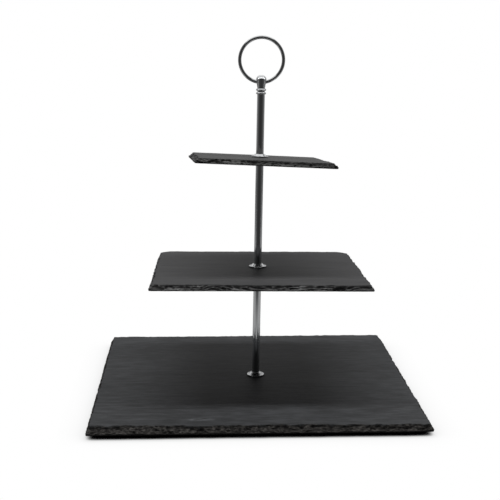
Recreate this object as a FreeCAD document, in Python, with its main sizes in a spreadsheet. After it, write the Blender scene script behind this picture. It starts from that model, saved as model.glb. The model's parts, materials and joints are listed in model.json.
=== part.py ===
import FreeCAD, Part
import math
import os
import Sketcher
from FreeCAD import Placement, Rotation, Vector

# Three-tier slate cake stand.  Millimetres, +Z up, origin on the table under the base slab's centre.
# +X is to the right and +Y to the rear; the base slab's front edge is parallel to X.

doc = FreeCAD.newDocument("tiered_cake_stand")

# ---------------------------------------------------------------------------------------------
# Driving dimensions: alias, value, meaning.  Lengths in millimetres, angles in degrees.
# ---------------------------------------------------------------------------------------------
DRIVING = [
    ("base_side", 300, "side of the base slab at its underside"),
    ("base_thick", 6.0, "thickness of the base slab"),
    ("base_bevel", 5.0, "width of the chiselled slope round the base slab"),
    ("base_chip", 2.5, "corner broken off the base slab"),
    ("base_worn", 3.5, "rear corners broken off the base slab"),
    ("base_hole_across", 2.6, "base slab's hole, to the right of the slab's centre"),
    ("column_lean", 0.8, "lean of the pole to the right, off upright"),
    ("column_turn", 7.0, "finial's eye and ring turned about the pole"),
    ("middle_side", 200, "side of the middle slab at its underside"),
    ("middle_chip", 1.5, "front corners broken off the middle slab"),
    ("middle_worn", 6.0, "rear corners broken off the middle slab"),
    ("middle_height", 116.2, "height of the middle slab's mid-plane at the pole"),
    ("middle_turn", -0.8, "middle slab turned about the pole"),
    ("middle_pitch", 2.1, "dip of the middle slab's rear edge, against the pole"),
    ("middle_roll", -0.45, "dip of the middle slab's right edge, against the pole"),
    ("top_side", 130, "side of the top slab at its underside"),
    ("top_chip", 1.5, "front corners broken off the top slab"),
    ("top_worn", 6.0, "rear corners broken off the top slab"),
    ("top_height", 222.3, "height of the top slab's mid-plane at the pole"),
    ("top_turn", 3.4, "top slab turned about the pole"),
    ("top_pitch", 3.7, "dip of the top slab's rear edge, against the pole"),
    ("top_roll", 1.8, "dip of the top slab's right edge, against the pole"),
    ("tier_thick", 5.0, "thickness of the middle and top slabs"),
    ("tier_bevel", 4.0, "width of the chiselled slope round the upper slabs"),
    ("edge_land", 1.0, "upright land below the chiselled slope"),
    ("slate_hole", 7.0, "diameter of a slab's drilled hole"),
    ("foot_stuck", 14, "rubber foot, diameter where it is stuck on"),
    ("foot_tread", 11, "rubber foot, diameter where it stands"),
    ("foot_height", 4.0, "rubber foot, height"),
    ("foot_inset", 28, "foot centre from the base slab's edges"),
    ("gasket_outside", 14, "soft gasket, diameter"),
    ("gasket_bore", 5.0, "soft gasket, bore"),
    ("gasket_thick", 0.5, "soft gasket, thickness"),
    ("flange_outside", 16.6, "domed flange washer, diameter"),
    ("flange_rim", 1.0, "domed flange washer, height of its rim"),
    ("flange_rim_wide", 1.6, "domed flange washer, width of its rim"),
    ("flange_groove", 0.35, "domed flange washer, depth of the groove inside its rim"),
    ("flange_rise", 2.8, "domed flange washer, overall height"),
    ("flange_floor", 1.2, "domed flange washer, floor under the pole"),
    ("flange_recess", 8.0, "domed flange washer, recess that takes the pole"),
    ("flange_lip", 9.6, "domed flange washer, lip round the recess"),
    ("flange_round", 0.4, "domed flange washer, rounding of its edges"),
    ("washer_outside", 16, "flat washer, diameter"),
    ("washer_thick", 1.2, "flat washer, thickness"),
    ("washer_bore", 4.5, "bore of the flat and flange washers"),
    ("washer_round", 0.3, "flat washer, rounding of its edges"),
    ("pole_outside", 7.3, "pole tube, diameter"),
    ("pole_inside", 5.0, "pole tube, bore"),
    ("pole_edge", 0.25, "pole tube, broken edge at each end"),
    ("seat_gap", 0.35, "running gap between a pole's end and its washer"),
    ("thread_major", 4.0, "screw thread, outside"),
    ("thread_minor", 3.4, "screw thread, root"),
    ("thread_pitch", 0.7, "screw thread, pitch"),
    ("thread_reach", 7.0, "depth that a thread enters the next insert"),
    ("thread_play", 0.05, "radial play of a thread in its insert"),
    ("insert_length", 12, "tapped insert in a pole's foot"),
    ("plug_length", 10, "stud's plain end in a pole's top"),
    ("screw_head", 8.0, "base screw, head diameter"),
    ("screw_head_high", 1.8, "base screw, head height"),
    ("screw_drive", 4.4, "base screw, length of its cross recess"),
    ("screw_drive_wide", 1.0, "base screw, width of its cross recess"),
    ("screw_drive_deep", 1.0, "base screw, depth of its cross recess"),
    ("screw_gap", 0.12, "running gap between the screw's head and its washer"),
    ("pole_top", 287.4, "height of the upper pole's top end"),
    ("bead_outside", 9.5, "diameter of the two beads"),
    ("bead_high", 2.2, "height of one bead"),
    ("bead_apart", 1.0, "bare pole between the two beads"),
    ("bead_round", 1.0, "rounding of a bead's edges"),
    ("finial_high", 14.6, "finial, overall height"),
    ("finial_waist", 7.4, "finial, diameter of its waist"),
    ("finial_waist_at", 3.3, "finial, height of its waist"),
    ("finial_head", 9.8, "finial, diameter of its pierced head"),
    ("finial_head_at", 10.4, "finial, height where its head is widest"),
    ("finial_round", 4.15, "finial, rounding of its crown"),
    ("finial_thread", 4.6, "depth that the thread enters the finial"),
    ("eye_height", 7.9, "finial, height of the eye's centre"),
    ("eye_play", 0.2, "play round the wire in the middle of the eye"),
    ("eye_flare", 0.6, "how much the eye's radius widens to each mouth"),
    ("ring_mean", 41.55, "carry ring, diameter of its centre line"),
    ("ring_wire", 3.2, "carry ring, diameter of its wire"),
]

sheet = doc.addObject("Spreadsheet::Sheet", "dims")
sheet_aliases = []


def add_dimension(alias, value, meaning):
    """Write one row of the sheet, and return the cell's name in expressions."""
    sheet_aliases.append(alias)
    row = len(sheet_aliases)
    sheet.set("A%d" % row, alias)
    sheet.set("B%d" % row, str(value))
    sheet.set("C%d" % row, meaning)
    sheet.setAlias("B%d" % row, alias)
    sheet.recompute()
    return "dims." + alias


def size(alias):
    """A dimension in the sheet as a plain number."""
    return float(sheet.get(alias))


for entry in DRIVING:
    add_dimension(*entry)


# ---------------------------------------------------------------------------------------------
# Sketches and features
# ---------------------------------------------------------------------------------------------
X_AXIS = Vector(1, 0, 0)
Y_AXIS = Vector(0, 1, 0)
Z_AXIS = Vector(0, 0, 1)
subparts = []


def new_body(label):
    """An empty PartDesign body, kept in the list of sub-parts."""
    body = doc.addObject("PartDesign::Body", label)
    body.Label = label
    subparts.append(body)
    return body


def origin_feature(body, role):
    """One of the body's own origin planes or axes."""
    return [item for item in body.Origin.OriginFeatures if item.Role == role][0]


def sketch_on(body, role, name, lift=None):
    """A sketch on one of the body's origin planes, lifted along its normal by an expression."""
    sketch = body.newObject("Sketcher::SketchObject", name)
    sketch.AttachmentSupport = [(origin_feature(body, role), "")]
    sketch.MapMode = "FlatFace"
    if lift:
        sketch.setExpression("AttachmentOffset.Base.z", lift)
    return sketch


def bind(sketch, kind, where, expression):
    """Add one dimension to a sketch and bind it to the sheet."""
    index = sketch.addConstraint(Sketcher.Constraint(kind, *where, 1.0))
    sketch.setExpression("Constraints[%d]" % index, expression)


def place(sketch, edge, point, across, up):
    """Bind a point's two coordinates; None keeps it on that axis of the sketch."""
    if across is None:
        sketch.addConstraint(Sketcher.Constraint("PointOnObject", edge, point, -2))
    else:
        bind(sketch, "DistanceX", (-1, 1, edge, point), across)
    if up is None:
        sketch.addConstraint(Sketcher.Constraint("PointOnObject", edge, point, -1))
    else:
        bind(sketch, "DistanceY", (-1, 1, edge, point), up)


def circle(sketch, diameter, across=None, up=None):
    """A circle of a bound diameter about a bound centre."""
    edge = sketch.addGeometry(Part.Circle(Vector(0, 0, 0), Z_AXIS, 1.0), False)
    bind(sketch, "Diameter", (edge,), diameter)
    place(sketch, edge, 3, across, up)


def outline(sketch, corners):
    """A closed outline of straight runs whose corners are bound to expressions."""
    count = len(corners)
    start = [Vector(math.cos(math.tau * n / count), math.sin(math.tau * n / count), 0) for n in range(count)]
    runs = []
    for number in range(count):
        line = Part.LineSegment(start[number], start[(number + 1) % count])
        runs.append(sketch.addGeometry(line, False))
    for number in range(count):
        here, after = runs[number], runs[(number + 1) % count]
        sketch.addConstraint(Sketcher.Constraint("Coincident", here, 2, after, 1))
        place(sketch, here, 1, *corners[number])


def finish(body, feature, removes=True):
    """Recompute, and stop if the feature failed or left the body's volume as it was."""
    before = 0 if body.Shape.isNull() else body.Shape.Volume
    doc.recompute()
    changed = before - body.Shape.Volume if removes else body.Shape.Volume - before
    if "Invalid" in feature.State or changed <= 0:
        raise RuntimeError("%s: %s has no effect" % (body.Label, feature.Name))
    return feature


def pad(body, sketch, length, taper=None):
    """Pad a sketch up its normal, with an optional taper."""
    feature = body.newObject("PartDesign::Pad", "Pad")
    feature.Profile = sketch
    feature.setExpression("Length", length)
    if taper:
        feature.setExpression("TaperAngle", taper)
    return finish(body, feature, removes=False)


def cut(body, sketch, length=None):
    """Pocket a sketch: upwards by a length, or right through both ways."""
    feature = body.newObject("PartDesign::Pocket", "Pocket")
    feature.Profile = sketch
    if length:
        feature.Reversed = True
        feature.setExpression("Length", length)
    else:
        feature.Type = "ThroughAll"
        feature.Midplane = True
    return finish(body, feature)


def turn(body, sketch, kind="Revolution", axis="V_Axis"):
    """Revolve a sketch about one of its axes, as a solid or as a groove."""
    feature = body.newObject("PartDesign::" + kind, kind)
    feature.Profile = sketch
    feature.ReferenceAxis = (sketch, [axis])
    feature.Angle = 360
    return finish(body, feature, removes=kind == "Groove")


def round_edges(body, wanted, radius, kind="Fillet"):
    """Fillet or chamfer the body's circular edges that have a wanted (diameter, height)."""
    base = body.Tip
    names = []
    for number, edge in enumerate(body.Shape.Edges, start=1):
        if not isinstance(edge.Curve, Part.Circle) or not edge.isClosed():
            continue
        for diameter, height in wanted:
            same_size = abs(edge.Curve.Radius * 2 - diameter) < 1e-4
            if same_size and abs(edge.Curve.Center.z - height) < 1e-4:
                names.append("Edge%d" % number)
    if len(names) != len(wanted):
        raise RuntimeError("%s: %d edges found of %d" % (body.Label, len(names), len(wanted)))
    feature = body.newObject("PartDesign::" + kind, kind)
    feature.Base = (base, names)
    feature.setExpression("Radius" if kind == "Fillet" else "Size", radius)
    return finish(body, feature)


# ---------------------------------------------------------------------------------------------
# Sub-parts, each in its own frame: its axis is Z and its lowest face is at zero
# ---------------------------------------------------------------------------------------------
def slate_slab(label, tier, thick, bevel):
    """A square slab with broken corners, an upright land, a chiselled slope and a drilled hole."""
    body = new_body(label)
    reach = "dims.%s_side / 2" % tier
    corners = []
    for across, up, chip in ((-1, -1, "chip"), (1, -1, "chip"), (1, 1, "worn"), (-1, 1, "worn")):
        full = "%d * %s"
        short = "%d * (" + reach + " - dims.%s_%s)" % (tier, chip)
        beside = (short % across, full % (up, reach))
        along = (full % (across, reach), short % up)
        corners += [along, beside] if across * up > 0 else [beside, along]
    land = sketch_on(body, "XY_Plane", "LandOutline")
    outline(land, corners)
    pad(body, land, "dims.edge_land")
    slope = sketch_on(body, "XY_Plane", "SlopeOutline", "dims.edge_land")
    outline(slope, corners)
    rise = "(dims.%s - dims.edge_land)" % thick
    pad(body, slope, rise, "-atan(dims.%s / %s)" % (bevel, rise))
    hole = sketch_on(body, "XY_Plane", "HoleOutline")
    circle(hole, "dims.slate_hole", "dims.base_hole_across" if tier == "base" else None)
    cut(body, hole)
    return body


def rubber_foot(label):
    """A stuck-on rubber foot, narrower where it stands."""
    body = new_body(label)
    section = sketch_on(body, "XZ_Plane", "FootSection")
    outline(section, [
        (None, None),
        ("dims.foot_tread / 2", None),
        ("dims.foot_stuck / 2", "dims.foot_height"),
        (None, "dims.foot_height"),
    ])
    turn(body, section)
    return body


def flat_ring(label, outside, bore, thick):
    """A flat ring: a gasket, or the start of a washer or tube."""
    body = new_body(label)
    face = sketch_on(body, "XY_Plane", "RingFace")
    circle(face, outside)
    circle(face, bore)
    pad(body, face, thick)
    return body


def gasket(label):
    """A soft gasket between slate and metal."""
    return flat_ring(label, "dims.gasket_outside", "dims.gasket_bore", "dims.gasket_thick")


def flat_washer(label):
    """A flat washer with rounded outer edges."""
    body = flat_ring(label, "dims.washer_outside", "dims.washer_bore", "dims.washer_thick")
    rims = [(size("washer_outside"), 0), (size("washer_outside"), size("washer_thick"))]
    round_edges(body, rims, "dims.washer_round")
    return body


def flange_washer(label):
    """A domed washer: rim, shallow groove, and a cone up to a lip round the pole's recess."""
    body = new_body(label)
    section = sketch_on(body, "XZ_Plane", "FlangeSection")
    rim_inside = "dims.flange_outside / 2 - dims.flange_rim_wide"
    outline(section, [
        ("dims.washer_bore / 2", None),
        ("dims.flange_outside / 2", None),
        ("dims.flange_outside / 2", "dims.flange_rim"),
        (rim_inside, "dims.flange_rim"),
        (rim_inside, "dims.flange_rim - dims.flange_groove"),
        ("dims.flange_lip / 2", "dims.flange_rise"),
        ("dims.flange_recess / 2", "dims.flange_rise"),
        ("dims.flange_recess / 2", "dims.flange_floor"),
        ("dims.washer_bore / 2", "dims.flange_floor"),
    ])
    turn(body, section)
    edges = [(size("flange_outside"), size("flange_rim")), (size("flange_lip"), size("flange_rise"))]
    round_edges(body, edges, "dims.flange_round")
    return body


def pole(label, length):
    """A pole tube with broken edges."""
    body = flat_ring(label, "dims.pole_outside", "dims.pole_inside", length)
    top = body.Shape.BoundBox.ZMax
    ends = [(size("pole_outside"), 0), (size("pole_outside"), top)]
    round_edges(body, ends, "dims.pole_edge", "Chamfer")
    return body


def tapped_insert(label):
    """A plug pressed into a pole's foot, bored from below for the next thread."""
    body = new_body(label)
    face = sketch_on(body, "XY_Plane", "PlugFace")
    circle(face, "dims.pole_inside")
    pad(body, face, "dims.insert_length")
    bore = sketch_on(body, "XY_Plane", "BoreFace")
    circle(bore, "dims.thread_major + 2 * dims.thread_play")
    cut(body, bore, "dims.thread_reach")
    return body


def cut_thread(body, bottom, length):
    """Cut evenly spaced V rings, one a pitch, up a rod that stands on the height bottom."""
    section = sketch_on(body, "XZ_Plane", "ThreadSection")
    outside = "dims.thread_major / 2 + 0.1 * dims.thread_pitch"
    outline(section, [
        (outside, "%s + 0.5 * dims.thread_pitch" % bottom),
        ("dims.thread_minor / 2", "%s + dims.thread_pitch" % bottom),
        (outside, "%s + 1.5 * dims.thread_pitch" % bottom),
    ])
    groove = turn(body, section, "Groove")
    pattern = body.newObject("PartDesign::LinearPattern", "ThreadRings")
    pattern.Originals = [groove]
    pattern.Direction = (origin_feature(body, "Z_Axis"), [""])
    pattern.Mode = "Spacing"
    pattern.setExpression("Offset", "dims.thread_pitch")
    pattern.setExpression("Occurrences", "floor((%s) / dims.thread_pitch) - 1" % length)
    body.Tip = pattern
    finish(body, pattern)


def stud(label, free_length):
    """A stud: a plain plug for the pole's top, then a threaded rod that stands out of it."""
    body = new_body(label)
    plug = sketch_on(body, "XY_Plane", "PlugFace")
    circle(plug, "dims.pole_inside")
    pad(body, plug, "dims.plug_length")
    rod = sketch_on(body, "XY_Plane", "RodFace", "dims.plug_length")
    circle(rod, "dims.thread_major")
    pad(body, rod, free_length)
    cut_thread(body, "dims.plug_length", free_length)
    return body


def base_screw(label, shank_length):
    """A pan-head screw, head down, with a cross recess."""
    body = new_body(label)
    head = sketch_on(body, "XY_Plane", "HeadFace")
    circle(head, "dims.screw_head")
    pad(body, head, "dims.screw_head_high")
    round_edges(body, [(size("screw_head"), 0)], "dims.screw_head_high * 0.5")
    for name, wide, long in (("SlotAcross", "dims.screw_drive", "dims.screw_drive_wide"),
                             ("SlotAlong", "dims.screw_drive_wide", "dims.screw_drive")):
        slot = sketch_on(body, "XY_Plane", name)
        outline(slot, [
            ("-(%s) / 2" % wide, "-(%s) / 2" % long),
            ("(%s) / 2" % wide, "-(%s) / 2" % long),
            ("(%s) / 2" % wide, "(%s) / 2" % long),
            ("-(%s) / 2" % wide, "(%s) / 2" % long),
        ])
        cut(body, slot, "dims.screw_drive_deep")
    rod = sketch_on(body, "XY_Plane", "ShankFace", "dims.screw_head_high")
    circle(rod, "dims.thread_major")
    pad(body, rod, shank_length)
    cut_thread(body, "dims.screw_head_high", shank_length)
    return body


def pole_collar(label):
    """The bead pressed on the upper pole below the finial."""
    body = flat_ring(label, "dims.bead_outside", "dims.pole_outside", "dims.bead_high")
    rims = [(size("bead_outside"), 0), (size("bead_outside"), size("bead_high"))]
    round_edges(body, rims, "dims.bead_round")
    return body


def finial(label):
    """A bead, a waist and a round-crowned head, pierced along X for the ring and tapped below."""
    body = new_body(label)
    section = sketch_on(body, "XZ_Plane", "FinialSection")
    outline(section, [
        (None, None),
        ("dims.bead_outside / 2", None),
        ("dims.bead_outside / 2", "dims.bead_high"),
        ("dims.finial_waist / 2", "dims.bead_high"),
        ("dims.finial_waist / 2", "dims.finial_waist_at"),
        ("dims.finial_head / 2", "dims.finial_head_at"),
        ("dims.finial_head / 2", "dims.finial_high"),
        (None, "dims.finial_high"),
    ])
    turn(body, section)
    bead = [(size("bead_outside"), 0), (size("bead_outside"), size("bead_high"))]
    round_edges(body, bead, "dims.bead_round")
    round_edges(body, [(size("finial_head"), size("finial_high"))], "dims.finial_round")
    bore = sketch_on(body, "XY_Plane", "BoreFace")
    circle(bore, "dims.thread_major + 2 * dims.thread_play")
    cut(body, bore, "dims.finial_thread")
    eye = sketch_on(body, "XZ_Plane", "EyeSection")
    half = "dims.finial_head / 2"
    throat = "dims.ring_wire / 2 + dims.eye_play"
    eye_centre = "dims.eye_height"
    axis = eye.addGeometry(Part.LineSegment(Vector(-1, 8, 0), Vector(1, 8, 0)), True)
    place(eye, axis, 1, "-" + half, eye_centre)
    place(eye, axis, 2, half, eye_centre)
    outline(eye, [
        ("-" + half, eye_centre),
        (half, eye_centre),
        (half, "%s + %s + dims.eye_flare" % (eye_centre, throat)),
        (None, "%s + %s" % (eye_centre, throat)),
        ("-" + half, "%s + %s + dims.eye_flare" % (eye_centre, throat)),
    ])
    turn(body, eye, "Groove", "Axis0")
    return body


def carry_ring(label):
    """A plain wire ring that lies flat in its own frame."""
    body = new_body(label)
    section = sketch_on(body, "XZ_Plane", "WireSection")
    circle(section, "dims.ring_wire", "dims.ring_mean / 2")
    turn(body, section)
    return body


# ---------------------------------------------------------------------------------------------
# Places: each tier is a stack of layers that lean together, threaded on the pole.  Heights are
# measured along the pole.  The pole leans about the base slab's mid-plane, and the upper tiers
# and the ring lean with it.
# ---------------------------------------------------------------------------------------------
pole_foot = Vector(size("base_hole_across"), 0, 0)
lean_centre = Vector(0, 0, size("foot_height") + size("base_thick") / 2)
leaning_pole = Placement(pole_foot, Rotation(Y_AXIS, size("column_lean")), lean_centre)
turned = Placement(Vector(), Rotation(Z_AXIS, size("column_turn")))


def tier_lean(tier):
    """A slab's rotation against the pole: turned about it, then leaning; the base does neither."""
    if tier == "base":
        return Rotation()
    dip_rear = Rotation(X_AXIS, -size(tier + "_pitch"))
    dip_right = Rotation(Y_AXIS, size(tier + "_roll"))
    return dip_rear.multiply(dip_right).multiply(Rotation(Z_AXIS, size(tier + "_turn")))


def tier_middle(tier):
    """Height of a slab's mid-plane on the pole's axis."""
    return lean_centre.z if tier == "base" else size(tier + "_height")


def slab_thickness(tier):
    """Thickness of a tier's slab."""
    return size("base_thick") if tier == "base" else size("tier_thick")


def axis_height(tier, offset):
    """Height on the pole's axis of a layer plane that is an offset from the slab's mid-plane."""
    upright = tier_lean(tier).multVec(Z_AXIS).z
    return tier_middle(tier) + offset / upright


def put_layer(body, tier, low, thick):
    """Place a layer whose lower face is low above the mid-plane, centred on the pole."""
    carrier = Placement(pole_foot, Rotation()) if tier == "base" else leaning_pole
    centre = Vector(0, 0, axis_height(tier, low + thick / 2))
    leaning = carrier.multiply(Placement(centre, tier_lean(tier)))
    body.Placement = leaning.multiply(Placement(Vector(0, 0, -thick / 2), Rotation()))


def put_at(body, height, stand=Rotation()):
    """Stand a piece on the pole's axis at a height."""
    body.Placement = leaning_pole.multiply(turned).multiply(Placement(Vector(0, 0, height), stand))


def build_tier(tier, thick_alias, bevel_alias):
    """A slab, and the washers and gaskets that grip it round its hole."""
    half = slab_thickness(tier) / 2
    soft = size("gasket_thick")
    hard = size("washer_thick")
    slab = slate_slab(tier + "_slate_plate", tier, thick_alias, bevel_alias)
    put_layer(slab, tier, -half, 2 * half)
    if tier == "base":
        slab.Placement.Base.x = 0
    put_layer(gasket(tier + "_upper_gasket"), tier, half, soft)
    put_layer(flange_washer(tier + "_flange_washer"), tier, half + soft, size("flange_floor"))
    put_layer(gasket(tier + "_lower_gasket"), tier, -half - soft, soft)
    put_layer(flat_washer(tier + "_lower_washer"), tier, -half - soft - hard, hard)


def foot_of_pole(tier):
    """Height of the lower end of the pole that stands on a tier."""
    stack = slab_thickness(tier) / 2 + size("gasket_thick") + size("flange_floor")
    return axis_height(tier, stack) + size("seat_gap")


def head_of_pole(tier):
    """Height of the upper end of the pole that carries a tier."""
    stack = slab_thickness(tier) / 2 + size("gasket_thick") + size("washer_thick")
    return axis_height(tier, -stack) - size("seat_gap")


def build_pole(name, low, high, stud_end):
    """A pole from one height to another, its tapped insert below and its stud above."""
    tube_long = add_dimension(name + "_long", round(high - low, 4), "length of the " + name)
    stud_free = add_dimension(name + "_stud_free", round(stud_end - high, 4), "stud beyond the " + name)
    put_at(pole(name, tube_long), low)
    put_at(tapped_insert(name + "_insert"), low)
    put_at(stud(name + "_stud", stud_free), high - size("plug_length"))


build_tier("base", "base_thick", "base_bevel")
build_tier("middle", "tier_thick", "tier_bevel")
build_tier("top", "tier_thick", "tier_bevel")

foot_reach = size("base_side") / 2 - size("foot_inset")
for end, up in (("front", -1), ("rear", 1)):
    for side, across in (("left", -1), ("right", 1)):
        foot = rubber_foot("foot_%s_%s" % (end, side))
        foot.Placement = Placement(Vector(across * foot_reach, up * foot_reach, 0), Rotation())

reach = size("thread_reach")
build_pole("lower_pole", foot_of_pole("base"), head_of_pole("middle"), foot_of_pole("middle") + reach)
build_pole("middle_pole", foot_of_pole("middle"), head_of_pole("top"), foot_of_pole("top") + reach)
build_pole("upper_pole", foot_of_pole("top"), size("pole_top"), size("pole_top") + size("finial_thread"))

screw_seat = size("foot_height") - size("gasket_thick") - size("washer_thick") - size("screw_gap")
shank_long = round(foot_of_pole("base") + reach - screw_seat, 4)
shank_cell = add_dimension("base_screw_shank", shank_long, "length of the base screw under its head")
put_at(base_screw("base_screw", shank_cell), screw_seat - size("screw_head_high"))

put_at(pole_collar("pole_collar"), size("pole_top") - size("bead_apart") - size("bead_high"))
put_at(finial("finial"), size("pole_top"))

ring_centre = size("pole_top") + size("eye_height") + size("ring_mean") / 2
put_at(carry_ring("carry_ring"), ring_centre, Rotation(X_AXIS, 90))

# ---------------------------------------------------------------------------------------------
# Checks, then one STEP file for each sub-part
# ---------------------------------------------------------------------------------------------
doc.recompute()
for item in doc.Objects:
    if "Invalid" in item.State or "Error" in item.State:
        raise RuntimeError("%s failed" % item.Label)
os.makedirs("parts", exist_ok=True)
for body in subparts:
    shape = body.Shape
    if shape.isNull() or not shape.isValid() or len(shape.Solids) != 1:
        raise RuntimeError("%s has no sound solid" % body.Label)
    shape.exportStep("parts/%s.step" % body.Label)
print("sub-parts written:", len(subparts))
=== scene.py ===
import json
import math

import bpy
import numpy as np
from mathutils import Matrix, Vector


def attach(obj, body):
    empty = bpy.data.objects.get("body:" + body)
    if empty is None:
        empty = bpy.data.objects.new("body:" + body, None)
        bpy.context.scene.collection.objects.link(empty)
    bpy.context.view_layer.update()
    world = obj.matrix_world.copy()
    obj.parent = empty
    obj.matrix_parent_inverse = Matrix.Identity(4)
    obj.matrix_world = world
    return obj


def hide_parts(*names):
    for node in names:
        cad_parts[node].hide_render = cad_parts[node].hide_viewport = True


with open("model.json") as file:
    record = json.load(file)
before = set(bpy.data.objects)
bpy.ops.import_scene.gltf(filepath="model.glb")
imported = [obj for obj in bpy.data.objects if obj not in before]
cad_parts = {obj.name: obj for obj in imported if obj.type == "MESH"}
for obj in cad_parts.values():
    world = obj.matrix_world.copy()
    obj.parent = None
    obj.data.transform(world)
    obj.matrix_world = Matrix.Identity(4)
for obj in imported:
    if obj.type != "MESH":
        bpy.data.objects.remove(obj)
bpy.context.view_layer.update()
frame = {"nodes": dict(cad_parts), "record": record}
nodes = frame["nodes"]
MM = 0.001


# ------------------------------------------------------------------------------------------
# Camera
# ------------------------------------------------------------------------------------------
def make_camera():
    """A long lens a little above the middle slab, slightly to the left and slightly rolled."""
    place = Vector((-51.6, -1051.4, 338.2)) * MM
    turn = math.radians(-2.63)
    dip = math.radians(10.91)
    roll = math.radians(0.23)
    data = bpy.data.cameras.new("camera")
    data.sensor_width = 36.0
    data.lens = 80.06
    data.clip_start = 0.05
    data.clip_end = 50.0
    camera = bpy.data.objects.new("camera", data)
    bpy.context.scene.collection.objects.link(camera)
    heading = Matrix.Rotation(turn, 4, "Z") @ Matrix.Rotation(math.pi / 2 - dip, 4, "X")
    aim = heading @ Matrix.Rotation(roll, 4, "Z")
    camera.matrix_world = Matrix.Translation(place) @ aim
    bpy.context.scene.camera = camera


# ------------------------------------------------------------------------------------------
# Node helpers
# ------------------------------------------------------------------------------------------
class Shader:
    """Adds nodes to one material's tree and links them."""

    def __init__(self, name):
        self.material = bpy.data.materials.new(name)
        self.material.use_nodes = True
        self.tree = self.material.node_tree
        self.surface = self.tree.nodes["Principled BSDF"]

    def add(self, kind, **settings):
        node = self.tree.nodes.new(kind)
        for key, value in settings.items():
            setattr(node, key, value)
        return node

    def join(self, source, target):
        self.tree.links.new(source, target)

    def set(self, **values):
        """Constants on the surface shader; underscores stand for spaces in a socket's name."""
        for key, value in values.items():
            self.surface.inputs[key.replace("_", " ")].default_value = value

    def place(self, scale=(1.0, 1.0, 1.0)):
        """Object coordinates in metres, stretched by a scale on each axis."""
        source = self.add("ShaderNodeTexCoord")
        mapping = self.add("ShaderNodeMapping")
        mapping.inputs["Scale"].default_value = scale
        self.join(source.outputs["Object"], mapping.inputs["Vector"])
        return mapping.outputs["Vector"]

    def noise(self, place, scale, detail=4.0, rough=0.55):
        node = self.add("ShaderNodeTexNoise")
        node.inputs["Scale"].default_value = scale
        node.inputs["Detail"].default_value = detail
        node.inputs["Roughness"].default_value = rough
        self.join(place, node.inputs["Vector"])
        return node.outputs["Fac"]

    def span(self, value, low, high, from_low=0.0, from_high=1.0):
        node = self.add("ShaderNodeMapRange")
        node.inputs["From Min"].default_value = from_low
        node.inputs["From Max"].default_value = from_high
        node.inputs["To Min"].default_value = low
        node.inputs["To Max"].default_value = high
        self.join(value, node.inputs["Value"])
        return node.outputs["Result"]

    def ramp(self, value, stops):
        node = self.add("ShaderNodeValToRGB")
        band = node.color_ramp
        while len(band.elements) < len(stops):
            band.elements.new(0.5)
        for element, (at, color) in zip(band.elements, stops):
            element.position = at
            element.color = (*color, 1.0)
        self.join(value, node.inputs["Fac"])
        return node.outputs["Color"]

    def mix(self, factor, first, second):
        node = self.add("ShaderNodeMix", data_type="RGBA")
        self.join(factor, node.inputs["Factor"])
        self.join(first, node.inputs["A"])
        self.join(second, node.inputs["B"])
        return node.outputs["Result"]

    def maths(self, operation, first, second):
        node = self.add("ShaderNodeMath", operation=operation)
        for socket, value in zip(node.inputs, (first, second)):
            if isinstance(value, (int, float)):
                socket.default_value = value
            else:
                self.join(value, socket)
        return node.outputs["Value"]

    def bump(self, height, strength, distance, under=None):
        node = self.add("ShaderNodeBump")
        node.inputs["Strength"].default_value = strength
        node.inputs["Distance"].default_value = distance
        self.join(height, node.inputs["Height"])
        if under is not None:
            self.join(under, node.inputs["Normal"])
        return node.outputs["Normal"]


# ------------------------------------------------------------------------------------------
# Materials
# ------------------------------------------------------------------------------------------
FACE_DARK = 0.64  # brightness of a slate face's darkest and palest streaks, against its tone
FACE_PALE = 1.48
# the edge's gains run from painted shade, in its steep and hollow places, to fresh chip
EDGE_GAINS = ((0.2, 0.1), (0.38, 0.45), (0.5, 1.0), (0.62, 2.0))  # the same, from hollow to fresh chip
SCUFF_TONE = (0.11, 0.115, 0.12)
SCUFF_HEIGHT = 10 * MM  # the base slab's upper face


def toned(tone, gains):
    """Ramp stops that show one tone at several brightnesses."""
    return [(at, tuple(gain * c for c in tone)) for at, gain in gains]


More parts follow.
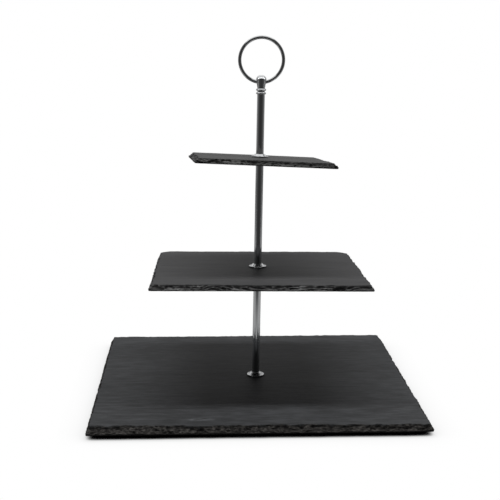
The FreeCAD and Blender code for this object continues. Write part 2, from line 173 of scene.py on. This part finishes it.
def slate_material(name, look):
    """Riven slate: streaky charcoal faces, and flaked edges in broken, mixed tones with painted shade
    where they are steep or hollow.
    """
    m = Shader(name)
    vein, rough_low = look["vein"], look["rough"]
    flake = m.add("ShaderNodeAttribute", attribute_name="flake").outputs["Fac"]
    edge_shade_paint = m.add("ShaderNodeAttribute", attribute_name="edge_shade_paint").outputs["Fac"]
    streak = m.noise(m.place((look["streak_wide"], 1.0, 1.0)), 210.0, 6.0, 0.68)
    cloud = m.noise(m.place((0.5, 1.0, 1.0)), 17.0, 3.0, 0.5)
    grain = m.noise(m.place(), 1500.0, 3.0, 0.6)
    level = m.maths("ADD", m.maths("MULTIPLY", streak, 0.75), m.maths("MULTIPLY", cloud, 0.25))
    streaks = ((0.5 - vein, FACE_DARK), (0.5, 1.0), (0.5 + vein, FACE_PALE))
    face = m.ramp(level, toned(look["tone"], streaks))
    if "scuff" in look:
        scuffed = m.ramp(streak, [(0.0, SCUFF_TONE), (1.0, SCUFF_TONE)])
        face = m.mix(scuff_mask(m, *look["scuff"]), face, scuffed)
    chip = m.noise(m.place((look["chip_wide"], 1.0, 1.8)), look["chip"], 4.0, 0.62)
    # painted shade: the edge's colour is darkened where it is steep or hollow, as if shade fell there
    lit = m.maths("SUBTRACT", chip, m.maths("MULTIPLY", edge_shade_paint, look["shade"]))
    edge = m.ramp(lit, toned(look["flake_tone"], EDGE_GAINS))
    m.join(m.mix(flake, face, edge), m.surface.inputs["Base Color"])
    rough = m.maths("ADD", m.span(level, rough_low, rough_low + 0.16), m.maths("MULTIPLY", flake, 0.12))
    m.join(rough, m.surface.inputs["Roughness"])
    m.set(Specular_IOR_Level=look["sheen"])
    normal = m.bump(m.noise(m.place((0.2, 1.0, 1.0)), 75.0, 5.0, 0.6), 0.45, 0.0006)
    normal = m.bump(streak, 0.5, 0.0004, normal)
    normal = m.bump(grain, 0.3, 0.00012, normal)
    normal = m.bump(m.maths("MULTIPLY", chip, flake), 0.8, 0.0012, normal)
    m.join(normal, m.surface.inputs["Normal"])
    return m.material


def scuff_mask(m, centre, half_size):
    """Where a pale scuff lies: strongest at its centre, broken up by fine scratches."""
    source = m.add("ShaderNodeTexCoord")
    mapping = m.add("ShaderNodeMapping", vector_type="TEXTURE")
    mapping.inputs["Location"].default_value = (centre[0] * MM, centre[1] * MM, SCUFF_HEIGHT)
    mapping.inputs["Scale"].default_value = (half_size[0] * MM, half_size[1] * MM, 1.0)
    m.join(source.outputs["Object"], mapping.inputs["Vector"])
    ball = m.add("ShaderNodeTexGradient", gradient_type="SPHERICAL")
    m.join(mapping.outputs["Vector"], ball.inputs["Vector"])
    scratch = m.span(m.noise(m.place((0.25, 1.0, 1.0)), 700.0, 3.0, 0.6), 0.0, 1.3, 0.42, 0.66)
    return m.maths("MULTIPLY", ball.outputs["Fac"], scratch)


def chrome_material(name, tint, rough):
    """Polished chromium plate with a faint unevenness."""
    m = Shader(name)
    m.set(Base_Color=(*tint, 1.0), Metallic=1.0)
    haze = m.noise(m.place(), 420.0, 3.0)
    m.join(m.span(haze, rough, rough + 0.05), m.surface.inputs["Roughness"])
    wave = m.noise(m.place((1.0, 1.0, 0.2)), 260.0, 2.0)
    m.join(m.bump(wave, 0.04, 0.0001), m.surface.inputs["Normal"])
    return m.material


def zinc_material(name):
    """Bright zinc-plated steel with a fine turned grain."""
    m = Shader(name)
    tone = m.noise(m.place((1.0, 1.0, 6.0)), 520.0, 4.0)
    plate = m.ramp(tone, [(0.3, (0.44, 0.45, 0.47)), (0.7, (0.62, 0.63, 0.64))])
    m.join(plate, m.surface.inputs["Base Color"])
    m.set(Metallic=1.0)
    m.join(m.span(tone, 0.26, 0.4), m.surface.inputs["Roughness"])
    m.join(m.bump(tone, 0.12, 0.0001), m.surface.inputs["Normal"])
    return m.material


def rubber_material(name, tone):
    """Matt black rubber with a fine moulded grain."""
    m = Shader(name)
    grain = m.noise(m.place(), 1100.0, 4.0)
    m.join(m.ramp(grain, toned(tone, ((0.35, 0.8), (0.65, 1.3)))), m.surface.inputs["Base Color"])
    m.join(m.span(grain, 0.62, 0.82), m.surface.inputs["Roughness"])
    m.join(m.bump(grain, 0.25, 0.00015), m.surface.inputs["Normal"])
    return m.material


def give(obj, material):
    """Make a material the object's only one."""
    obj.data.materials.clear()
    obj.data.materials.append(material)


# ------------------------------------------------------------------------------------------
# Slate slabs
# ------------------------------------------------------------------------------------------
CELLS = 64  # lattice noise repeats after this many cells
ALIGNED = 0.98  # least cosine between an axis and the normal of a CAD face that looks along it
UPRIGHT = 0.05  # most cosine between a slab's up axis and the normal of its upright edge
SLIVER = 1e-6  # twice the area, in square metres, below which a CAD triangle is passed over
HOLE_RADIUS = 3.5 * MM
HOLE_SEARCH = 12 * MM  # the hole's own points lie this near the slab's centre
WASHER_FLAT = 10  # radius, in millimetres, of the plain face under a washer
WASHER_FADE = 12  # width, in millimetres, over which the riven waves rise beyond it
CORNER_REACH = 14 * MM  # how far from a corner its scars are held back
WALL_POWER = (4.0, 9.0)  # range of the steepness of the wall behind a scar
EDGE_STEP = 0.3 * MM  # spacing of the fine rings along the flaked edge
FLAKED_BELOW = 0.99  # part of the thickness below which the face counts as broken
THIN = 0.05  # least part of the thickness left at a flake, and the part over which it sets in
WORN_EDGE = 0.35 * MM  # wear of the underside's rim


def lattice(x, y, seed):
    """Smooth noise in -1..1 from a seeded lattice of random values, one to a unit cell."""
    table = np.random.RandomState(seed).uniform(-1.0, 1.0, (CELLS, CELLS))
    column, row = np.floor(x).astype(int), np.floor(y).astype(int)
    across, up = x - column, y - row
    across = across * across * (3 - 2 * across)
    up = up * up * (3 - 2 * up)
    left, right = column % CELLS, (column + 1) % CELLS
    low, high = row % CELLS, (row + 1) % CELLS
    near = table[left, low] * (1 - across) + table[right, low] * across
    far = table[left, high] * (1 - across) + table[right, high] * across
    return near * (1 - up) + far * up


def layered(x, y, seed, octaves):
    """Octaves of lattice noise, each twice as fine and half as strong."""
    total = np.zeros_like(x)
    for octave in range(octaves):
        total += lattice(x * 2 ** octave, y * 2 ** octave, seed + octave) / 2 ** octave
    return total


def slab_frame(node):
    """A CAD slab's own frame, side, thickness and hole centre in that frame, from its mesh."""
    mesh = nodes[node].data
    points = np.array([v.co for v in mesh.vertices])
    mesh.calc_loop_triangles()
    tris = points[np.array([t.vertices for t in mesh.loop_triangles])]
    cross = np.cross(tris[:, 1] - tris[:, 0], tris[:, 2] - tris[:, 0])
    area = np.linalg.norm(cross, axis=1)
    unit = cross / np.maximum(area, 1e-12)[:, None]
    up = cross[unit[:, 2] > ALIGNED].sum(0)
    up /= np.linalg.norm(up)
    wall = (np.abs(unit @ up) < UPRIGHT) & (unit[:, 0] > ALIGNED) & (area > SLIVER)
    right = cross[wall].sum(0)
    right -= up * (right @ up)
    right /= np.linalg.norm(right)
    axes = np.column_stack((right, np.cross(up, right), up))
    local = points @ axes
    centre = (local.max(0) + local.min(0)) / 2
    side, _, thick = local.max(0) - local.min(0)
    near = local[np.hypot(*(local - centre)[:, :2].T) < HOLE_SEARCH] - centre
    hole = (near.max(0) + near.min(0)) / 2
    matrix = Matrix([[*row, 0.0] for row in axes] + [[0.0, 0.0, 0.0, 1.0]])
    matrix.translation = Vector(axes @ centre)
    return matrix, side, thick, hole[0]


class Slab:
    """One riven slab in its own frame, in metres: z up, zero at its mid-plane and its centre."""

    def __init__(self, side, thick, hole_x, look):
        self.half = side / 2
        self.thick = thick
        self.hole_x = hole_x
        self.look = look
        self.seed = look["seed"]
        self.random = np.random.RandomState(self.seed)
        self.scars = [self.side_scars(shares, *row) for shares in look["sides"] for row in look["flakes"]]

    def side_scars(self, reach_shares, half_width, reach, lip_low, lip_high):
        """Overlapping scars along one side: where, half width, reach, lip, foot, share, power."""
        scars = []
        at = -self.half - half_width * MM
        while at < self.half + half_width * MM:
            wide = half_width * MM * self.random.uniform(0.5, 1.3)
            share_here = np.interp(at, (-self.half, self.half), reach_shares)
            deep = share_here * reach * MM * self.random.uniform(0.6, 1.25)
            lip = self.thick * self.random.uniform(lip_low, lip_high)
            foot = self.thick * self.random.uniform(*self.look["foot"])
            near_corner = np.clip((abs(at) - self.half) / CORNER_REACH + 1, 0, 1)
            foot += near_corner * self.look["corner_body"] * (self.thick - foot)
            share = self.random.uniform(*self.look["slope"])
            power = self.random.uniform(*WALL_POWER)
            scars.append((at, wide, deep, lip, foot, share, power))
            at += wide * self.random.uniform(0.7, 1.3)
        return scars

    def outline(self, angle):
        """Distance from the centre to the slab's outline in each direction."""
        across, up = np.cos(angle), np.sin(angle)
        reach = self.half / np.maximum(np.abs(across), np.abs(up))
        for (sign_x, sign_y), round_off in self.look["corners"].items():
            inner = self.half - round_off * MM
            toward = inner * (sign_x * across + sign_y * up)
            arc = toward + np.sqrt(np.maximum(toward ** 2 - 2 * inner ** 2 + (round_off * MM) ** 2, 0))
            in_corner = (arc * sign_x * across > inner) & (arc * sign_y * up > inner)
            reach = np.where(in_corner, arc, reach)
        return reach

    def carve(self, x, y):
        """Height that the scars leave: shallow bowls, steep behind their middles unless worn."""
        height = np.full_like(x, self.thick)
        sides = ((x, self.half + y), (y, self.half - x), (-x, self.half - y), (-y, self.half + x))
        rows = len(self.look["flakes"])
        for index, (along, inside) in enumerate(sides):
            inside = np.maximum(inside, 0.0)
            worn = 1 - self.look["raw"][index]
            warp = 1.6 * MM * lattice(along / (5 * MM), inside / (3 * MM), self.seed + 5)
            for scars in self.scars[index * rows:index * rows + rows]:
                for at, wide, deep, lip, foot, share, power in scars:
                    off = ((along - at + warp) / wide) ** 2
                    bowl = off + (inside / deep) ** 2
                    wall = (1 - share) * (1 - worn) * np.maximum(1 - off, 0)
                    rise = (1 - wall) * np.sqrt(bowl) + wall * bowl ** power
                    rise = rise + worn * rise * (1 - rise)
                    height = np.where(bowl < 1, np.minimum(height, foot + (lip - foot) * rise), height)
        return height

    def nick(self, side, along):
        """How far the outline is set back at a place along a side: unevenness and broken nicks."""
        back = 0.25 + 0.3 * lattice(along / (7 * MM), np.full_like(along, side * 9.7), self.seed)
        back += 0.2 * lattice(along / (1.9 * MM), np.full_like(along, side * 5.3), self.seed + 7)
        back = np.maximum(back, 0.0) * MM
        for where, at, half_width, depth in self.look["nicks"]:
            if where == side:
                near = 1 - ((along - at * MM) / (half_width * MM)) ** 2
                back += depth * MM * np.sqrt(np.maximum(near, 0.0))
        return back

    def relief(self, x, y):
        """Gentle riven waves, long from left to right, that die away round the hole."""
        wave = 0.11 * layered(x / (46 * MM), y / (11 * MM), self.seed + 20, 3)
        wave += 0.05 * layered(x / (150 * MM), y / (60 * MM), self.seed + 30, 2)
        away = np.clip((np.hypot(x - self.hole_x, y) / MM - WASHER_FLAT) / WASHER_FADE, 0, 1)
        return (wave - 0.2) * away * MM

    def laminate(self, x, y, height):
        """Break a flaked slope into thin uneven layers, steep in front and flat on top, with grit."""
        layer = self.look["layer"] * MM
        spread = self.look["spread"] * MM
        step = height / layer + 1.3 * layered(x / spread, y / spread, self.seed + 50, 3)
        part = step % 1.0
        facet = self.look["facet"] * MM
        ridge = 0.5 - np.abs(layered(x / facet, y / (0.6 * facet), self.seed + 40, 2))
        return height + 0.8 * layer * (part ** 5 - part) + self.look["grit"] * MM * ridge

    def mesh(self, name):
        """The closed mesh: rings from the hole out over the top, down the edge and back below."""
        columns, loops, band = self.look["columns"], self.look["loops"], self.look["band"] * MM
        count = 4 * columns
        along = np.linspace(-self.half, self.half, columns, endpoint=False)
        fixed = np.full(columns, self.half)
        side = np.repeat(np.arange(4), columns)
        side_x = np.concatenate((along, fixed, -along, -fixed))
        side_y = np.concatenate((-fixed, along, fixed, -along))
        angle = np.arctan2(side_y, side_x)
        reach = self.outline(angle)
        raw = np.repeat(self.look["raw"], columns)
        set_back = np.concatenate([self.nick(k, along) for k in range(4)])
        rings = []

        def ring(radius, height, flaked, shift=0.0):
            x = radius * np.cos(angle) + shift
            rings.append((x, radius * np.sin(angle), height * np.ones(count), flaked * np.ones(count)))

        def face_ring(part, base, sign):
            blend = part * part * (3 - 2 * part)
            square = reach * (1 - band / self.half) * (1 - part) + HOLE_RADIUS * part
            round_one = (self.half - band) * (1 - part) + HOLE_RADIUS * part
            radius = square * (1 - blend) + round_one * blend
            shift = self.hole_x * part
            x, y = radius * np.cos(angle) + shift, radius * np.sin(angle)
            ring(radius, base + sign * self.relief(x, y), 0.0, shift)

        for part in np.linspace(1, 0, loops, endpoint=False):
            face_ring(part, self.thick, 1.0)
        edge_start = len(rings)
        for inset in np.arange(band, -1e-9, -EDGE_STEP):
            inset = max(inset, 0.0)
            radius = reach * (1 - inset / self.half)
            x, y = radius * np.cos(angle), radius * np.sin(angle)
            carved = self.carve(x, y)
            flaked = np.clip((FLAKED_BELOW * self.thick - carved) / (THIN * self.thick), 0, 1)
            broken = self.laminate(x, y, carved)
            height = carved + flaked * (broken - carved)
            face = self.thick + self.relief(x, y)
            height = np.where(flaked > 0, np.minimum(height, face), face)
            height = np.clip(height, THIN * self.thick, None)
            ring(radius - set_back * (1 - inset / band), height, flaked * raw)
        edge = rings[-1][2]
        for part in (0.6, 0.25, 0.0):
            rough = 0.15 * lattice(np.arange(count) * 0.37, np.full(count, part * 31), self.seed + 60)
            radius = reach - set_back - (0.15 + rough + 0.3 * (1 - part) ** 2) * MM
            ring(radius, edge * part, raw)
        edge_end = len(rings)
        for inset in (0.8, 1.6, 3.0, 6.0):
            radius = reach * (1 - inset * MM / self.half) - set_back * (1 - inset * MM / band)
            chip = WORN_EDGE * max(0.0, 1 - inset / 3.0)
            worn = chip * (0.5 + 0.5 * lattice(side * 40 + angle * 60, angle * 9, self.seed + 70))
            ring(radius, worn, chip / WORN_EDGE)
        for part in np.linspace(0, 1, loops // 2):
            face_ring(part, 0.0, -0.6)
        points = np.array([(x, y, z - self.thick / 2) for x, y, z, _ in rings]).transpose(0, 2, 1)
        flaked = np.array([f for _, _, _, f in rings])
        row = np.arange(len(rings))[:, None] * count
        after_row = ((np.arange(len(rings)) + 1) % len(rings))[:, None] * count
        column = np.arange(count)[None, :]
        after = (column + 1) % count
        corners = (row + column, after_row + column, after_row + after, row + after)
        faces = np.stack(corners, -1).reshape(-1, 4)
        mesh = bpy.data.meshes.new(name)
        mesh.from_pydata(points.reshape(-1, 3).tolist(), [], faces.tolist())
        # painted shade on the broken edge, stored as a mesh attribute for the material
        shade = self.paint_edge_shade(points, edge_start, edge_end) * raw
        for title, values in (("flake", flaked), ("edge_shade_paint", shade)):
            attribute = mesh.attributes.new(title, "FLOAT", "POINT")
            attribute.data.foreach_set("value", values.astype(np.float32).ravel())
        mesh.shade_smooth()
        mesh.set_sharp_from_angle(angle=math.radians(30))
        return mesh

    def paint_edge_shade(self, points, first, last):
        """Painted shade for the broken edge: how steep or hollow each place is, from 0 to 1, to darken
        its colour.
        """
        x, y, z = points[first:last].transpose(2, 0, 1)
        out = np.hypot(x, y)
        fall = -np.gradient(z, axis=0)
        run = np.maximum(np.gradient(out, axis=0), 0.02 * MM)
        steep = np.clip((fall / run - 0.8) / 1.6, 0, 1)
        around = z.copy()
        for shift in (-2, -1, 1, 2):
            around += np.roll(z, shift, axis=1)
        hollow = np.clip((around / 5 - z) / (0.25 * MM), 0, 1)
        shade = np.zeros(points.shape[:2])
        shade[first:last] = np.clip(0.8 * steep + 0.7 * hollow, 0, 1)
        return shade


TIER_BODY = {"base": "base", "middle": "middle_tier", "top": "top_tier"}

# Each slab's look.  Lengths are in millimetres, and sides run front, right, rear, left.
#   seed: of the slab's random shapes
#   columns, loops: mesh columns along a side, and rings across the face
#   band: width of the edge's fine mesh
#   layer, spread: thickness and unevenness of the laminations
#   facet, grit: width and height of the small facets
#   foot: how much of the thickness the scars leave at the outline, lowest and highest
#   slope: how evenly a scar slopes, lowest and highest; the rest is a steep wall at its back
#   corner_body: how far the scars near a corner stay short of the underside
#   flakes: rows of (half width, reach, lowest lip, highest lip), lips as parts of the thickness
#   sides: share of that reach at the two ends of each side
#   corners: radius of each corner, by the signs of its x and y
#   nicks: side, where, half width, depth
#   tone, flake_tone: colour of the faces and of the broken edges
#   rough, sheen: lowest roughness, and specular level
#   raw: how fresh the break looks on each side; what is not fresh is worn round
#   streak_wide, vein: the riven streaks' stretch along x, and how soft their contrast is
#   chip, chip_wide: fineness of the edge's colour, and its stretch along x
#   shade: how dark the painted shade is in the edge's steep and hollow places
#   scuff: centre and half size of a pale mark on the face
SLATES = {
    "base": dict(
        seed=11, columns=300, loops=16, band=10.8, layer=1.1, spread=7.0, facet=6.0, grit=0.8,
        foot=(0.12, 0.36), slope=(0.5, 0.9), corner_body=0.15,
        flakes=((11, 8.2, 1.0, 1.04), (6, 8.0, 0.75, 1.04), (5, 5.0, 0.4, 0.85), (3, 2.6, 0.2, 0.6)),
        sides=((1.1, 0.6), (0.4, 0.4), (0.5, 0.5), (0.35, 0.35)),
        corners={(-1, -1): 1.5, (1, -1): 2.5, (1, 1): 17.0, (-1, 1): 13.0},
        nicks=((1, 60, 5, 0.8), (1, -20, 8, 0.6), (3, 35, 6, 0.7), (2, 70, 9, 0.8), (2, -90, 7, 0.6)),
        tone=(0.0325, 0.0335, 0.0355), flake_tone=(0.034, 0.032, 0.030), rough=0.50, sheen=0.25,
        raw=(1.0, 1.0, 1.0, 1.0),
        streak_wide=0.2, vein=0.1,
        chip=330.0, chip_wide=0.4, shade=0.24, scuff=((-52, -128), (19, 4.5))),
    "middle": dict(
        seed=23, columns=220, loops=14, band=9.0, layer=1.9, spread=22.0, facet=14.0, grit=0.28,
        foot=(0.14, 0.3), slope=(0.55, 0.85), corner_body=0.3,
        flakes=((10, 6.6, 1.0, 1.04), (10, 5.0, 0.75, 1.02), (9, 3.0, 0.35, 0.6)),
        sides=((1.05, 0.8), (0.45, 0.45), (0.5, 0.5), (0.45, 0.45)),
        corners={(-1, -1): 2.5, (1, -1): 1.5, (1, 1): 26.0, (-1, 1): 22.0},
        nicks=((1, 62, 3, 1.2), (1, 35, 4, 0.8), (1, -30, 5, 0.9), (3, -40, 6, 0.7), (2, -20, 8, 0.5)),
        tone=(0.036, 0.036, 0.037), flake_tone=(0.070, 0.070, 0.070), rough=0.50, sheen=0.35,
        streak_wide=0.13, vein=0.17,
        raw=(1.0, 1.0, 1.0, 1.0), chip=140.0, chip_wide=0.45, shade=0.5),
    "top": dict(
        seed=37, columns=150, loops=12, band=9.0, layer=1.7, spread=18.0, facet=11.0, grit=0.25,
        foot=(0.12, 0.3), slope=(0.5, 0.85), corner_body=0.4,
        flakes=((11, 6.4, 1.0, 1.04), (8, 5.4, 0.7, 1.0), (6, 3.0, 0.35, 0.7)),
        sides=((1.0, 1.0), (0.5, 0.7), (0.5, 0.5), (0.95, 0.95)),
        corners={(-1, -1): 4.0, (1, -1): 5.0, (1, 1): 7.0, (-1, 1): 17.0},
        nicks=((1, 28, 5, 1.2), (1, 10, 3, 0.8)),
        tone=(0.043, 0.043, 0.043), flake_tone=(0.040, 0.040, 0.039), rough=0.50, sheen=0.38,
        streak_wide=0.13, vein=0.15,
        raw=(1.0, 1.0, 1.0, 0.12), chip=200.0, chip_wide=0.35, shade=0.46),
}


def make_slates():
    """Each CAD slab is replaced by riven slate of the same size, in the slab's own place."""
    for tier, look in SLATES.items():
        node = tier + "_slate_plate"
        matrix, side, thick, hole_x = slab_frame(node)
        name = tier + "_slate"
        piece = bpy.data.objects.new(name, Slab(side, thick, hole_x, look).mesh(name))
        bpy.context.scene.collection.objects.link(piece)
        piece.data.transform(matrix)
        give(piece, slate_material(name, look))
        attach(piece, TIER_BODY[tier])
        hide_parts(node)


# ------------------------------------------------------------------------------------------
# Metal and rubber
# ------------------------------------------------------------------------------------------
def dress_hardware():
    """The turned metal and rubber pieces keep their own shapes and get their materials."""
    chrome = chrome_material("chrome", (0.78, 0.79, 0.80), 0.05)
    zinc = zinc_material("zinc_steel")
    gasket = rubber_material("gasket_rubber", (0.02, 0.02, 0.02))
    foot = rubber_material("foot_rubber", (0.03, 0.03, 0.03))
    by_slot = {"chrome": chrome, "zinc_steel": zinc, "gasket_rubber": gasket, "foot_rubber": foot}
    for entry in frame["record"]["subparts"]:
        material = by_slot.get(entry["material_slot"])
        if material:
            give(nodes[entry["node"]], material)


# ------------------------------------------------------------------------------------------
# Studio.  Lengths are in metres.
# ------------------------------------------------------------------------------------------
FLOOR_X = (-1.6, 1.6)
FLOOR_Y = (-0.42, 1.6)
SHADOW_REACH = 0.03  # how near the object must be to shade the floor
SHADOW_STOPS = ((0.2, 0.0), (0.6, 0.8), (1.0, 1.0))
BOUNCE = (0.08, 0.34)  # the floor's tone to light, in front and behind
BOUNCE_Y = (-0.38, -0.17)  # where it fades from one to the other


def make_floor():
    """A pale floor: to the eye a white glow with a contact shadow painted in from ambient occlusion; dim
    to light in front.
    """
    mesh = bpy.data.meshes.new("floor")
    (left, right), (front, rear) = FLOOR_X, FLOOR_Y
    points = [(left, front, 0), (right, front, 0), (right, rear, 0), (left, rear, 0)]
    mesh.from_pydata(points, [], [(0, 1, 2, 3)])
    floor = bpy.data.objects.new("floor", mesh)
    bpy.context.scene.collection.objects.link(floor)
    m = Shader("floor")
    path = m.add("ShaderNodeLightPath")
    open_air = m.add("ShaderNodeAmbientOcclusion", samples=24)
    open_air.inputs["Distance"].default_value = SHADOW_REACH
    # painted contact shadow: the glow's colour darkens where ambient occlusion finds the object near
    pale = m.ramp(open_air.outputs["AO"], toned((1.0, 1.0, 1.0), SHADOW_STOPS))
    seen = m.add("ShaderNodeEmission")
    m.join(pale, seen.inputs["Color"])
    matt = m.add("ShaderNodeBsdfDiffuse")
    split = m.add("ShaderNodeSeparateXYZ")
    m.join(m.place(), split.inputs["Vector"])
    m.join(m.span(split.outputs["Y"], *BOUNCE, *BOUNCE_Y), matt.inputs["Color"])
    either = m.add("ShaderNodeMixShader")
    m.join(path.outputs["Is Camera Ray"], either.inputs["Fac"])
    m.join(matt.outputs["BSDF"], either.inputs[1])
    m.join(seen.outputs["Emission"], either.inputs[2])
    facing = m.add("ShaderNodeNewGeometry")
    from_below = m.add("ShaderNodeMixShader")
    m.join(facing.outputs["Backfacing"], from_below.inputs["Fac"])
    m.join(either.outputs["Shader"], from_below.inputs[1])
    m.join(m.add("ShaderNodeBsdfTransparent").outputs["BSDF"], from_below.inputs[2])
    m.join(from_below.outputs["Shader"], m.tree.nodes["Material Output"].inputs["Surface"])
    give(floor, m.material)


def area_light(name, place, aim, size, power):
    """A soft rectangular lamp that points at a place."""
    data = bpy.data.lights.new(name, "AREA")
    data.shape = "RECTANGLE"
    data.size, data.size_y = size
    data.energy = power
    lamp = bpy.data.objects.new(name, data)
    lamp.location = place
    lamp.rotation_euler = (Vector(aim) - Vector(place)).to_track_quat("-Z", "Y").to_euler()
    bpy.context.scene.collection.objects.link(lamp)
    return lamp


# how bright the surroundings are to light and reflections, from the front to the rear
WORLD_STOPS = ((0.0, 0.03), (0.25, 0.065), (0.5, 0.14), (0.75, 0.26), (1.0, 0.45))


def make_world():
    """White to the eye; to light and reflections, grey that brightens to the rear."""
    world = bpy.data.worlds.new("studio")
    world.use_nodes = True
    tree = world.node_tree
    background = tree.nodes["Background"]
    path = tree.nodes.new("ShaderNodeLightPath")
    where = tree.nodes.new("ShaderNodeTexCoord")
    split = tree.nodes.new("ShaderNodeSeparateXYZ")
    shift = tree.nodes.new("ShaderNodeMapRange")
    shift.inputs["From Min"].default_value = -1.0
    ramp = tree.nodes.new("ShaderNodeValToRGB")
    mix = tree.nodes.new("ShaderNodeMix")
    mix.data_type = "RGBA"
    band = ramp.color_ramp
    while len(band.elements) < len(WORLD_STOPS):
        band.elements.new(0.5)
    for element, (at, level) in zip(band.elements, WORLD_STOPS):
        element.position = at
        element.color = (level, level, level, 1.0)
    tree.links.new(where.outputs["Generated"], split.inputs["Vector"])
    tree.links.new(split.outputs["Y"], shift.inputs["Value"])
    tree.links.new(shift.outputs["Result"], ramp.inputs["Fac"])
    tree.links.new(path.outputs["Is Camera Ray"], mix.inputs["Factor"])
    tree.links.new(ramp.outputs["Color"], mix.inputs["A"])
    mix.inputs["B"].default_value = (1.0, 1.0, 1.0, 1.0)
    tree.links.new(mix.outputs["Result"], background.inputs["Color"])
    bpy.context.scene.world = world


GLEAM_AIM = (0.0, 0.0, 0.3)
BEADS = ("finial", "pole_collar")
FLANGES = ("base_flange_washer", "middle_flange_washer", "top_flange_washer")

# lamps that only some chrome pieces see: name, place, extent, power, the pieces
GLEAMS = (
    ("gleam_front", (0.0, -0.75, 1.25), (2.6, 0.5), 6.5, BEADS + FLANGES),
    ("gleam_rear", (0.0, 1.3, 1.1), (3.4, 1.0), 4.0, BEADS + FLANGES),
    ("gleam_left", (-1.2, -0.25, 1.0), (0.5, 1.0), 3.0, BEADS),
    ("gleam_right", (1.2, -0.25, 1.0), (0.5, 1.0), 3.0, BEADS),
)


def make_studio():
    """Floor, surroundings, a strip that isn't mirrored, a card that only mirrors, and gleams."""
    make_floor()
    make_world()
    strip = area_light("strip", (0.0, -0.15, 1.35), (0.0, -0.05, 0.0), (1.4, 0.22), 20.0)
    strip.visible_glossy = False
    card = area_light("card", (0.0, 0.25, 1.3), (0.0, 0.25, 0.0), (1.6, 1.2), 4.2)
    card.visible_diffuse = False
    for name, place, extent, power, seen_by in GLEAMS:
        gleam = area_light(name, place, GLEAM_AIM, extent, power)
        receivers = bpy.data.collections.new(name)
        for node in seen_by:
            receivers.objects.link(nodes[node])
        gleam.light_linking.receiver_collection = receivers
    view = bpy.context.scene.view_settings
    view.view_transform = "Standard"
    view.look = "None"


make_camera()
make_slates()
dress_hardware()
make_studio()
